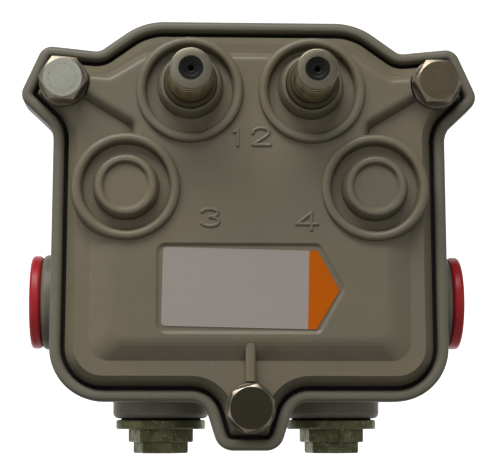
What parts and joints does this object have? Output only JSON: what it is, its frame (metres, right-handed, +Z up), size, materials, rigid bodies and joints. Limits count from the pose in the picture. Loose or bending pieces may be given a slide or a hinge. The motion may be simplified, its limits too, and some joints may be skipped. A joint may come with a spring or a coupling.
{
  "type": "cable tv tap",
  "caption": "Outdoor hardline cable tap: die-cast case on a strand clamp, bolted cover with F ports and board module, capped side ports, plugged bottom ports, seizure screws.",
  "frame": {"origin": "axis of the strand at the middle of the clamp's groove", "axes": "+X to the right seen from the cover, -Y out of the cover, +Z up"},
  "size_m": [0.1094, 0.0867, 0.1038],
  "materials": {
    "cast_grey": "satin cast, grey",
    "cast_grey_cover": "satin cast, grey",
    "cast_grey_jaw": "satin cast, grey",
    "black_rubber": "matte",
    "tinned_mesh": "knitted wire",
    "bolt_zinc": "zinc plated, worn",
    "bolt_warm": "weathered",
    "bolt_dark": "dark, worn edges",
    "washer_steel": "satin",
    "f_plating": "tin plated, thin at the thread",
    "black_plastic": "matte",
    "contact_brass": "satin",
    "label_silver": "satin film",
    "tag_orange": "satin film",
    "plug_chromate": "olive chromate",
    "cap_red": "satin",
    "board_green": "semi-gloss",
    "screw_steel": "satin",
    "tin_plate": "bright tin",
    "ferrite": "matte",
    "copper_red": "enamelled",
    "copper_green": "enamelled",
    "film_yellow": "semi-gloss",
    "block_white": "satin",
    "strand_steel": "galvanised"
  },
  "bodies": {
    "housing": {"rear_housing": "cast_grey", "rf_gasket": "tinned_mesh", "seizure_ring_left": "screw_steel", "seizure_ring_right": "screw_steel"},
    "cover": {"faceplate": "cast_grey_cover", "weather_gasket": "black_rubber", "label_panel": "label_silver", "value_tag": "tag_orange", "f_port_1": "f_plating", "f_port_2": "f_plating", "f_insulator_1": "black_plastic", "f_insulator_2": "black_plastic", "f_contact_1": "contact_brass", "f_contact_2": "contact_brass", "circuit_board": "board_green", "board_screws": "screw_steel", "shield_cover": "tin_plate", "contact_cup_left": "contact_brass", "contact_cup_right": "contact_brass", "coupler_core": "ferrite", "coupler_winding": "copper_red", "splitter_core": "ferrite", "splitter_winding": "copper_green", "power_choke_rod": "ferrite", "power_choke_winding": "copper_red", "blocking_capacitors": "film_yellow", "chip_resistors": "black_plastic"},
    "washer_left": {"bolt_washer_left": "washer_steel"},
    "bolt_left": {"cover_bolt_left": "bolt_zinc"},
    "washer_right": {"bolt_washer_right": "washer_steel"},
    "bolt_right": {"cover_bolt_right": "bolt_warm"},
    "washer_bottom": {"bolt_washer_bottom": "washer_steel"},
    "bolt_bottom": {"cover_bolt_bottom": "bolt_dark"},
    "seal_left": {"port_seal_left": "black_rubber"},
    "plug_left": {"port_plug_left": "plug_chromate"},
    "cap_left": {"port_cap_left": "cap_red"},
    "block_left": {"seizure_block_left": "block_white", "seizure_post_left": "contact_brass"},
    "saddle_left": {"seizure_saddle_left": "contact_brass"},
    "screw_left": {"seizure_screw_left": "screw_steel"},
    "seal_right": {"port_seal_right": "black_rubber"},
    "plug_right": {"port_plug_right": "plug_chromate"},
    "cap_right": {"port_cap_right": "cap_red"},
    "block_right": {"seizure_block_right": "block_white", "seizure_post_right": "contact_brass"},
    "saddle_right": {"seizure_saddle_right": "contact_brass"},
    "screw_right": {"seizure_screw_right": "screw_steel"},
    "jaw": {"strand_jaw": "cast_grey_jaw", "strand_washer": "strand_steel"},
    "strand_bolt": {"strand_bolt": "strand_steel"}
  },
  "joints": [
    {"name": "cover_open", "type": "slide", "parent": "housing", "child": "cover", "axis": [0, -1, 0], "range_m": [0, 0.03]},
    {"name": "bolt_left_lift", "type": "slide", "parent": "cover", "child": "washer_left", "axis": [0, -1, 0], "range_m": [0, 0.007]},
    {"name": "bolt_left_turn", "type": "hinge", "parent": "washer_left", "child": "bolt_left", "pos_m": [-0.0444, -0.0513, -0.0023], "axis": [0, -1, 0], "range_deg": [0, 2522]},
    {"name": "bolt_right_lift", "type": "slide", "parent": "cover", "child": "washer_right", "axis": [0, -1, 0], "range_m": [0, 0.007]},
    {"name": "bolt_right_turn", "type": "hinge", "parent": "washer_right", "child": "bolt_right", "pos_m": [0.0444, -0.0513, -0.0023], "axis": [0, -1, 0], "range_deg": [0, 2522]},
    {"name": "bolt_bottom_lift", "type": "slide", "parent": "cover", "child": "washer_bottom", "axis": [0, -1, 0], "range_m": [0, 0.007]},
    {"name": "bolt_bottom_turn", "type": "hinge", "parent": "washer_bottom", "child": "bolt_bottom", "pos_m": [0, -0.0513, -0.0795], "axis": [0, -1, 0], "range_deg": [0, 2522]},
    {"name": "plug_left_lower", "type": "slide", "parent": "housing", "child": "seal_left", "axis": [0, 0, -1], "range_m": [0, 0.00849]},
    {"name": "plug_left_turn", "type": "hinge", "parent": "seal_left", "child": "plug_left", "pos_m": [-0.0212, -0.024, -0.082], "axis": [0, 0, -1], "range_deg": [0, 2880]},
    {"name": "cap_left_pull", "type": "slide", "parent": "housing", "child": "cap_left", "axis": [-1, 0, 0], "range_m": [0, 0.012]},
    {"name": "block_left_turn", "type": "hinge", "parent": "housing", "child": "block_left", "pos_m": [-0.0212, -0.024, -0.0529], "axis": [0, -1, 0], "range_deg": [0, 90]},
    {"name": "saddle_left_lift", "type": "slide", "parent": "block_left", "child": "saddle_left", "axis": [0, -1, 0], "range_m": [0, 0.0032]},
    {"name": "screw_left_turn", "type": "hinge", "parent": "saddle_left", "child": "screw_left", "pos_m": [-0.0212, -0.027, -0.0529], "axis": [0, -1, 0], "range_deg": [0, 1442]},
    {"name": "plug_right_lower", "type": "slide", "parent": "housing", "child": "seal_right", "axis": [0, 0, -1], "range_m": [0, 0.00849]},
    {"name": "plug_right_turn", "type": "hinge", "parent": "seal_right", "child": "plug_right", "pos_m": [0.0212, -0.024, -0.082], "axis": [0, 0, -1], "range_deg": [0, 2880]},
    {"name": "cap_right_pull", "type": "slide", "parent": "housing", "child": "cap_right", "axis": [1, 0, 0], "range_m": [0, 0.012]},
    {"name": "block_right_turn", "type": "hinge", "parent": "housing", "child": "block_right", "pos_m": [0.0212, -0.024, -0.0529], "axis": [0, 1, 0], "range_deg": [0, 90]},
    {"name": "saddle_right_lift", "type": "slide", "parent": "block_right", "child": "saddle_right", "axis": [0, -1, 0], "range_m": [0, 0.0032]},
    {"name": "screw_right_turn", "type": "hinge", "parent": "saddle_right", "child": "screw_right", "pos_m": [0.0212, -0.027, -0.0529], "axis": [0, -1, 0], "range_deg": [0, 1442]},
    {"name": "jaw_open", "type": "slide", "parent": "housing", "child": "jaw", "axis": [0, 1, 0], "range_m": [0, 0.00637]},
    {"name": "strand_bolt_turn", "type": "hinge", "parent": "jaw", "child": "strand_bolt", "pos_m": [0, 0.003, -0.009], "axis": [0, 1, 0], "range_deg": [0, 1620]}
  ],
  "couplings": [
    {"joint": "bolt_left_turn", "follows": "bolt_left_lift", "rad_per_m": 6283.2},
    {"joint": "bolt_right_turn", "follows": "bolt_right_lift", "rad_per_m": 6283.2},
    {"joint": "bolt_bottom_turn", "follows": "bolt_bottom_lift", "rad_per_m": 6283.2},
    {"joint": "plug_left_lower", "follows": "plug_left_turn", "m_per_rad": 0.00016844},
    {"joint": "screw_left_turn", "follows": "saddle_left_lift", "rad_per_m": 7854},
    {"joint": "plug_right_lower", "follows": "plug_right_turn", "m_per_rad": 0.00016844},
    {"joint": "screw_right_turn", "follows": "saddle_right_lift", "rad_per_m": 7854},
    {"joint": "jaw_open", "follows": "strand_bolt_turn", "m_per_rad": 0.00022459}
  ]
}
